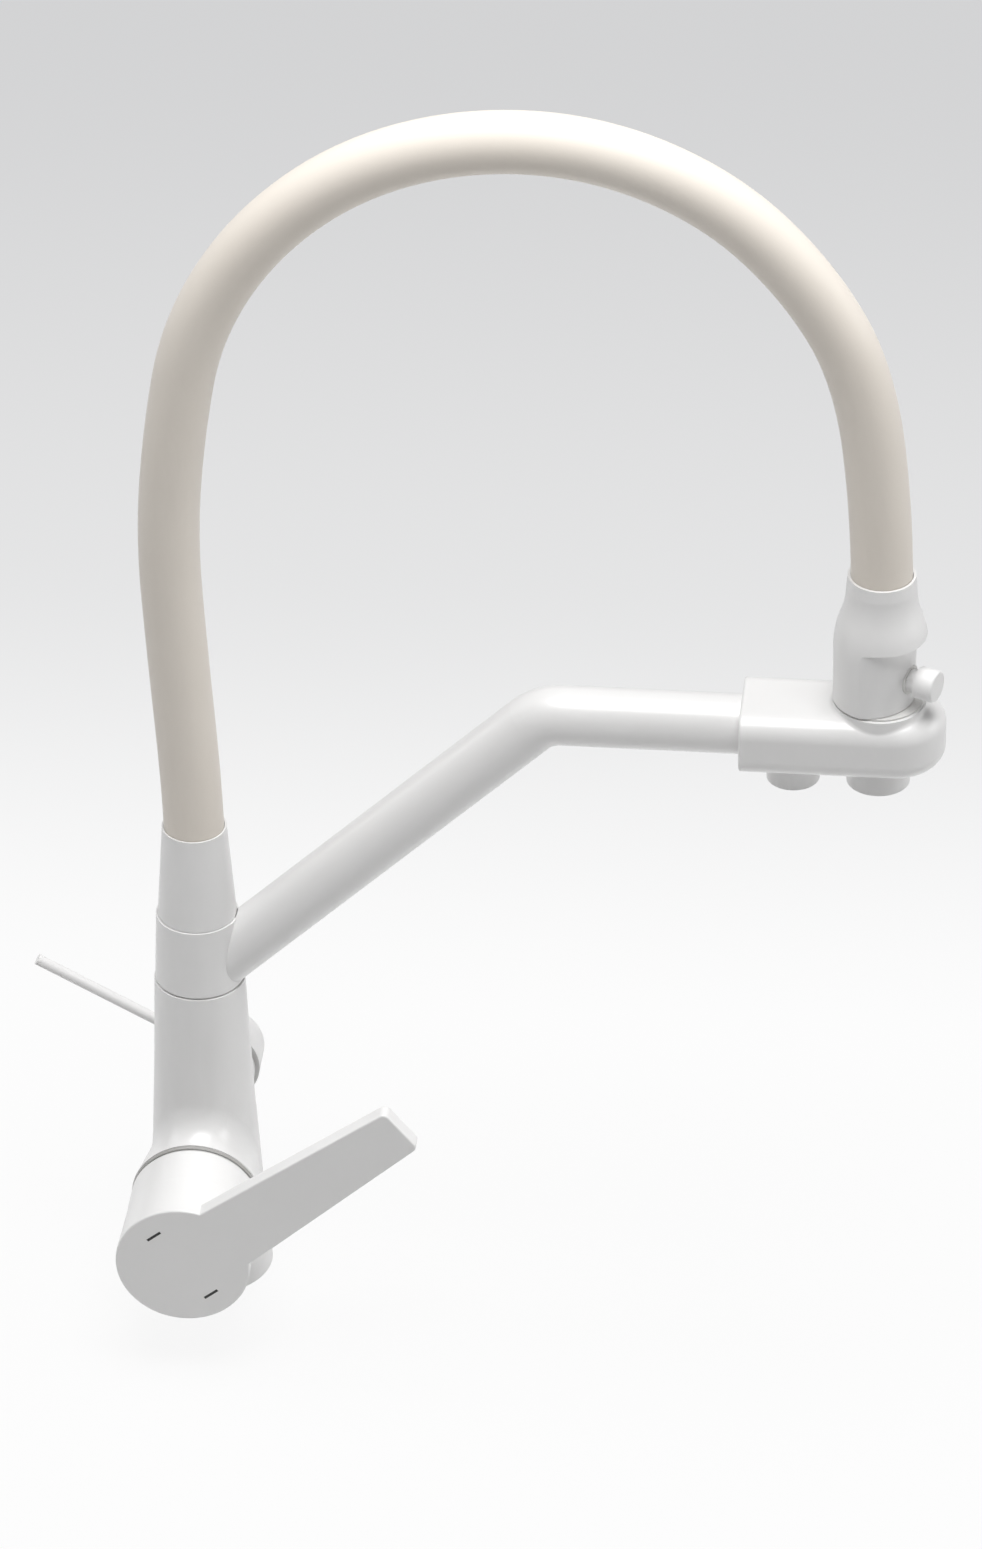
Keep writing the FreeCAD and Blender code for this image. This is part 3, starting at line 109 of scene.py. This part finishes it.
class Finish:
    """One material: a Principled shader whose sockets take numbers, colours or values."""

    # Colour sockets of a Mix node, by number because its other kinds share their names
    MIX_LOW = 6
    MIX_HIGH = 7
    MIX_RESULT = 2

    def __init__(self, name, constants=None):
        self.material = bpy.data.materials.new(name)
        self.material.use_nodes = True
        self.tree = self.material.node_tree
        self.shader = self.tree.nodes["Principled BSDF"]
        self.output = self.tree.nodes["Material Output"]
        for socket, value in (constants or {}).items():
            self.set(socket, value)

    def set(self, socket, value):
        """Gives a socket of the Principled shader its number, colour or value."""
        self.fill(self.shader.inputs[socket], value)

    def fill(self, socket, value):
        """Links a value to the socket, or writes a number or a colour in it."""
        if isinstance(value, Value):
            self.tree.links.new(value.socket, socket)
        elif isinstance(value, tuple) and len(value) == 3 and socket.type == "RGBA":
            socket.default_value = (*value, 1.0)
        else:
            socket.default_value = value

    def node(self, kind, settings=None, inputs=None, output=0):
        """A new node: its settings first, then the values or links of its sockets."""
        made = self.tree.nodes.new(kind)
        for name, value in (settings or {}).items():
            setattr(made, name, value)
        for name, value in (inputs or {}).items():
            self.fill(made.inputs[name], value)
        return Value(self, made.outputs[output])

    def place(self):
        """Where a point of the surface is, in metres."""
        return self.node("ShaderNodeTexCoord").part("Object")

    def noise(self, scale, detail=2.0, stretch=(1, 1, 1)):
        """Soft random marks from 0 to 1 in the solid, closer together with a larger scale."""
        where = self.node("ShaderNodeMapping", {}, {"Vector": self.place(), "Scale": stretch})
        return self.node("ShaderNodeTexNoise", {}, {
            "Vector": where, "Scale": scale, "Detail": detail})

    def rise(self, value, start, end, top):
        """Climbs smoothly from nothing to the top while the value goes from start to end."""
        return self.node("ShaderNodeMapRange", {"interpolation_type": "SMOOTHSTEP"}, {
            "Value": value, "From Min": start, "From Max": end, "To Min": 0.0, "To Max": top})

    def between(self, amount, low, high):
        """A colour that runs from low to high with the amount."""
        return self.node("ShaderNodeMix", {"data_type": "RGBA"}, {
            "Factor": amount, self.MIX_LOW: low, self.MIX_HIGH: high}, self.MIX_RESULT)

    def bumps(self, height, depth, strength):
        """Raises the surface by the height's value, up to the depth in metres."""
        self.set("Normal", self.node("ShaderNodeBump", {}, {
            "Height": height, "Distance": depth, "Strength": strength}))


def white_paint():
    """Satin-gloss white lacquer with a faint orange peel."""
    paint = Finish("white_paint", {"Coat Weight": 0.35, "Coat Roughness": 0.16, "IOR": 1.48})
    peel = paint.noise(scale=420.0)
    drift = paint.noise(scale=18.0, detail=1.0)
    paint.set("Base Color", paint.between(drift, (0.815, 0.81, 0.805), (0.845, 0.841, 0.837)))
    paint.set("Roughness", 0.30 + 0.10 * drift)
    paint.bumps(peel, depth=0.00006, strength=0.35)
    return paint.material


def silicone():
    """Smooth warm-white silicone with a soft satin skin."""
    skin = Finish("silicone_hose", {"Sheen Weight": 0.15, "Sheen Roughness": 0.5, "IOR": 1.41})
    drift = skin.noise(scale=14.0)
    grain = skin.noise(scale=900.0)
    skin.set("Base Color", skin.between(drift, (0.80, 0.74, 0.665), (0.835, 0.78, 0.71)))
    skin.set("Roughness", 0.46 + 0.10 * grain)
    skin.bumps(grain, depth=0.00005, strength=0.4)
    return skin.material


def moulded(name, low, high, roughness):
    """Moulded plastic, rubber or ceramic between two colours, with a fine grain."""
    plastic = Finish(name)
    grain = plastic.noise(scale=700.0, detail=3.0)
    drift = plastic.noise(scale=40.0, detail=1.0)
    plastic.set("Base Color", plastic.between(drift, low, high))
    plastic.set("Roughness", roughness + 0.12 * grain)
    plastic.bumps(grain, depth=0.00008, strength=0.5)
    return plastic.material


def turned_metal(name, low, high, roughness):
    """Bare turned or drawn metal between two colours, with fine tool marks round it."""
    metal = Finish(name, {"Metallic": 1.0})
    marks = metal.noise(scale=160.0, detail=3.0, stretch=(0.3, 0.3, 9.0))
    metal.set("Base Color", metal.between(marks, low, high))
    metal.set("Roughness", roughness + 0.18 * marks)
    metal.bumps(marks, depth=0.00004, strength=0.5)
    return metal.material


def all_finishes():
    """Every finish, under the name of the model's slot that it goes on."""
    return {
        "white_paint": white_paint(),
        "silicone_hose": silicone(),
        "water_hose": moulded("water_hose", (0.62, 0.63, 0.63), (0.70, 0.71, 0.71), 0.45),
        "dark_plastic": moulded("dark_plastic", (0.018, 0.018, 0.018), (0.03, 0.03, 0.03), 0.5),
        # On the ring in the seam between the boss and the lever's hub this grey is painted shade: a
        # real ring, coloured at the tone of the shaded groove there.
        "grey_plastic": moulded("grey_plastic", (0.36, 0.355, 0.345), (0.42, 0.415, 0.405), 0.5),
        "pale_plastic": moulded("pale_plastic", (0.70, 0.695, 0.68), (0.76, 0.755, 0.74), 0.5),
        "grey_rubber": moulded("grey_rubber", (0.14, 0.14, 0.145), (0.19, 0.19, 0.195), 0.6),
        "black_rubber": moulded("black_rubber", (0.015, 0.015, 0.015), (0.03, 0.03, 0.03), 0.7),
        "ceramic": moulded("ceramic", (0.74, 0.73, 0.70), (0.80, 0.79, 0.76), 0.25),
        "brass": turned_metal("brass", (0.62, 0.44, 0.20), (0.74, 0.55, 0.28), 0.28),
        "steel": turned_metal("steel", (0.46, 0.47, 0.48), (0.60, 0.61, 0.62), 0.26),
    }


def dress(finishes):
    """Gives each node of the model the finish of its slot."""
    for entry in frame["record"]["subparts"]:
        piece = nodes[entry["node"]]
        piece.data.materials.clear()
        piece.data.materials.append(finishes[entry["material_slot"]])


def finished(name, shell):
    """A smooth-shaded object from the shell, which is then let go."""
    mesh = bpy.data.meshes.new(name)
    shell.to_mesh(mesh)
    shell.free()
    piece = bpy.data.objects.new(name, mesh)
    bpy.context.scene.collection.objects.link(piece)
    for face in mesh.polygons:
        face.use_smooth = True
    return piece


def hose_line(name, start, end):
    """The points that a hose follows, read from a smooth spline through its route."""
    curve = bpy.data.curves.new(name, "CURVE")
    curve.dimensions = "3D"
    spline = curve.splines.new("NURBS")
    route = [start] + HOSE_ROUTE + [end]
    spline.points.add(len(route) - 1)
    for spot, (across, up) in zip(spline.points, route):
        spot.co = (across, 0, up, 1)
    spline.order_u = 3
    spline.use_endpoint_u = True
    spline.resolution_u = 10
    guide = bpy.data.objects.new(name, curve)
    bpy.context.scene.collection.objects.link(guide)
    line = bpy.data.meshes.new_from_object(guide)
    spots = [vertex.co.copy() for vertex in line.vertices]
    bpy.data.objects.remove(guide)
    bpy.data.meshes.remove(line)
    return spots


def tube_along(name, spots, radius, wall, sides=48):
    """A hose with a real wall: a ring that is pushed from spot to spot and turned to face on."""
    shell = bmesh.new()
    ring = bmesh.ops.create_circle(shell, segments=sides, radius=radius)["verts"]
    edges = list(shell.edges)
    heading = Vector((0, 0, 1))
    here = Vector((0, 0, 0))
    for index, spot in enumerate(spots):
        before = spots[max(index - 1, 0)]
        after = spots[min(index + 1, len(spots) - 1)]
        along = (after - before).normalized()
        if index:
            made = bmesh.ops.extrude_edge_only(shell, edges=edges)["geom"]
            ring = [item for item in made if isinstance(item, bmesh.types.BMVert)]
            edges = [item for item in made if isinstance(item, bmesh.types.BMEdge)]
        swing = heading.rotation_difference(along).to_matrix()
        bmesh.ops.translate(shell, verts=ring, vec=spot - here)
        bmesh.ops.rotate(shell, verts=ring, cent=spot, matrix=swing)
        heading = along
        here = spot
    bmesh.ops.recalc_face_normals(shell, faces=shell.faces)
    bmesh.ops.solidify(shell, geom=shell.faces[:], thickness=wall)
    return finished(name, shell)


def hoses(finishes):
    """The silicone sleeve and the water hose inside it, both laid along one route up to the head."""
    for name, node, slot, radius, wall, foot, tip in (
            ("hose_sleeve", "silicone_hose", "silicone_hose",
             HOSE_RADIUS, HOSE_WALL, HOSE_FOOT, HOSE_TIP),
            ("hose_core", "inner_water_hose", "water_hose",
             WATER_HOSE_RADIUS, WATER_HOSE_WALL, WATER_HOSE_FOOT, WATER_HOSE_TIP)):
        spots = hose_line(name + "_line", (0, foot), (HEAD_REACH, tip))
        piece = tube_along(name, spots, radius, wall)
        piece.data.materials.append(finishes[slot])
        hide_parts(node)
        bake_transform(piece)


def floor_finish():
    """White round the tap and grey far behind it, the grey being painted shade for the light falling
    off; mostly unlit, with a faint shadow left.
    """
    ground = Finish("floor", {"Roughness": 0.6, "Base Color": (0.66, 0.66, 0.66)})
    behind = ground.node("ShaderNodeSeparateXYZ", {}, {0: ground.place()}, "Y")
    # Painted shade: the floor's colour greys away behind the tap, standing in for the lamps' light
    # falling off with distance.
    painted_falloff = (ground.rise(behind, start=0.15, end=0.5, top=0.55)
                + ground.rise(behind, start=0.3, end=1.0, top=0.45))
    round_tap = (1.0, 1.0, 1.0)
    painted_far_shade = (0.66, 0.662, 0.67)
    plain = ground.between(painted_falloff, round_tap, painted_far_shade)
    glow = ground.node("ShaderNodeEmission", {}, {"Color": plain, "Strength": 1.0})
    path = ground.node("ShaderNodeLightPath")
    seen = path.part("Is Camera Ray") + path.part("Is Glossy Ray") + path.part("Is Transmission Ray")
    unlit = ground.node("ShaderNodeMath", {"operation": "MINIMUM"}, {
        0: seen * FLOOR_UNLIT_SHARE, 1: FLOOR_UNLIT_SHARE})
    lit = Value(ground, ground.shader.outputs["BSDF"])
    mixed = ground.node("ShaderNodeMixShader", {}, {0: unlit, 1: lit, 2: glow})
    ground.tree.links.new(mixed.socket, ground.output.inputs["Surface"])
    return ground.material


def lay_floor():
    """A wide flat floor at the worktop's height, behind and under the tap."""
    sheet = bmesh.new()
    bmesh.ops.create_grid(sheet, x_segments=1, y_segments=1, size=FLOOR_HALF_WIDTH)
    floor = finished("floor", sheet)
    floor.data.materials.append(floor_finish())


def sky():
    """Faint even white light from all round."""
    world = bpy.data.worlds.new("studio")
    bpy.context.scene.world = world
    world.use_nodes = True
    background = world.node_tree.nodes["Background"]
    background.inputs["Color"].default_value = (1.0, 1.0, 1.0, 1.0)
    background.inputs["Strength"].default_value = SKY_STRENGTH


def lamp(name, place, aim, width, power):
    """A square soft lamp at the place that shines at the aim: width in metres, power in watts."""
    light = bpy.data.lights.new(name, "AREA")
    light.size = width
    light.energy = power
    holder = bpy.data.objects.new(name, light)
    holder.location = place
    holder.rotation_euler = (Vector(aim) - Vector(place)).to_track_quat("-Z", "Y").to_euler()
    bpy.context.scene.collection.objects.link(holder)


def lamps():
    """A strong lamp overhead and a weak one on each side."""
    lamp("overhead", place=(0.2, -0.2, 2.29), aim=(0.1, 0.0, 0.2), width=1.5, power=59.0)
    lamp("right_fill", place=(2.4, 0.4, 0.9), aim=(0.1, 0.0, 0.25), width=1.2, power=12.0)
    lamp("left_fill", place=(-2.2, 0.6, 1.2), aim=(0.1, 0.0, 0.25), width=1.2, power=6.5)


def camera():
    """Looks down on the tap from the front, a long way off, a little turned about Z."""
    pitch = math.radians(PITCH)
    roll = math.radians(ROLL)
    right = Vector((1, 0, 0))
    forward = Vector((0, math.cos(pitch), -math.sin(pitch)))
    up = Vector((0, math.sin(pitch), math.cos(pitch)))
    rolled_right = right * math.cos(roll) + up * math.sin(roll)
    rolled_up = up * math.cos(roll) - right * math.sin(roll)
    foot_right = (FOOT_ACROSS - PHOTO_WIDTH / 2) / LENS
    foot_down = (FOOT_DOWN - PHOTO_HEIGHT / 2) / LENS
    eye = -(forward + rolled_right * foot_right - rolled_up * foot_down) * DISTANCE
    axes = Matrix((rolled_right, rolled_up, -forward)).transposed()
    turn = Matrix.Rotation(math.radians(TURN_ABOUT_TAP), 3, "Z")
    data = bpy.data.cameras.new("camera")
    data.sensor_width = SENSOR_SIZE
    data.lens = LENS * SENSOR_SIZE / PHOTO_HEIGHT
    data.clip_end = FARTHEST_SEEN
    holder = bpy.data.objects.new("camera", data)
    holder.matrix_world = Matrix.Translation(turn @ eye) @ (turn @ axes).to_4x4()
    bpy.context.scene.collection.objects.link(holder)
    bpy.context.scene.camera = holder


finishes = all_finishes()
dress(finishes)
hoses(finishes)
lay_floor()
sky()
lamps()
camera()
bpy.context.scene.view_settings.view_transform = "Standard"
